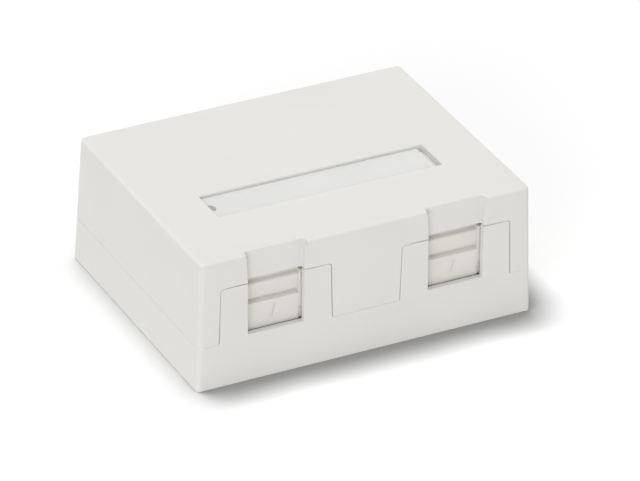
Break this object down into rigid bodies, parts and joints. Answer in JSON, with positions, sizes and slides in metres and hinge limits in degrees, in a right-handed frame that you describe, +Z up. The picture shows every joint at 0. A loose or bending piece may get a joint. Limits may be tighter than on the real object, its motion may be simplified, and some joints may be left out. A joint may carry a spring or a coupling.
{
  "type": "surface mount jack box",
  "caption": "Low white surface box for data jacks, with sprung shutters over its plug ports, a lift-off cover and a label pocket in the top.",
  "frame": {"origin": "middle of the flat underside", "axes": "+Z up off the wall or desk, -Y towards the plug ports, +X to the right of a person who faces the ports"},
  "size_m": [0.08, 0.064, 0.0308],
  "materials": {
    "cover_plastic": "fine moulded ABS, warm white",
    "base_plastic": "fine moulded ABS, warm white",
    "shutter_plastic": "moulded ABS, slightly creamier white",
    "window": "clear moulded strip",
    "card": "plain white card",
    "jack_plastic": "moulded plastic",
    "cap_plastic": "moulded plastic",
    "board": "green solder mask",
    "contact_metal": "gold-plated spring metal",
    "steel": "bright zinc-plated steel"
  },
  "bodies": {
    "base": {"base": "base_plastic", "left_outer_spring": "steel", "left_inner_spring": "steel", "right_outer_spring": "steel", "right_inner_spring": "steel", "left_jack_body": "jack_plastic", "left_jack_contacts": "contact_metal", "left_jack_board": "board", "left_idc_block": "jack_plastic", "left_idc_contacts": "contact_metal", "left_wire_cap": "cap_plastic", "right_jack_body": "jack_plastic", "right_jack_contacts": "contact_metal", "right_jack_board": "board", "right_idc_block": "jack_plastic", "right_idc_contacts": "contact_metal", "right_wire_cap": "cap_plastic"},
    "cover": {"cover": "cover_plastic", "cover_screw": "steel", "label_card": "card"},
    "label_window": {"label_window": "window"},
    "left_shutter": {"left_shutter": "shutter_plastic"},
    "right_shutter": {"right_shutter": "shutter_plastic"}
  },
  "joints": [
    {"name": "cover_lift", "type": "slide", "parent": "base", "child": "cover", "axis": [0, 0, 1], "range_m": [0, 0.03]},
    {"name": "window_lift", "type": "slide", "parent": "cover", "child": "label_window", "axis": [0, 0, 1], "range_m": [0, 0.006]},
    {"name": "left_shutter_slide", "type": "slide", "parent": "base", "child": "left_shutter", "axis": [0, 0, -1], "range_m": [0, 0.009], "stiffness_N_per_m": 60, "springref_m": -0.005, "deforming": ["left_outer_spring", "left_inner_spring"]},
    {"name": "right_shutter_slide", "type": "slide", "parent": "base", "child": "right_shutter", "axis": [0, 0, -1], "range_m": [0, 0.009], "stiffness_N_per_m": 60, "springref_m": -0.005, "deforming": ["right_outer_spring", "right_inner_spring"]}
  ]
}
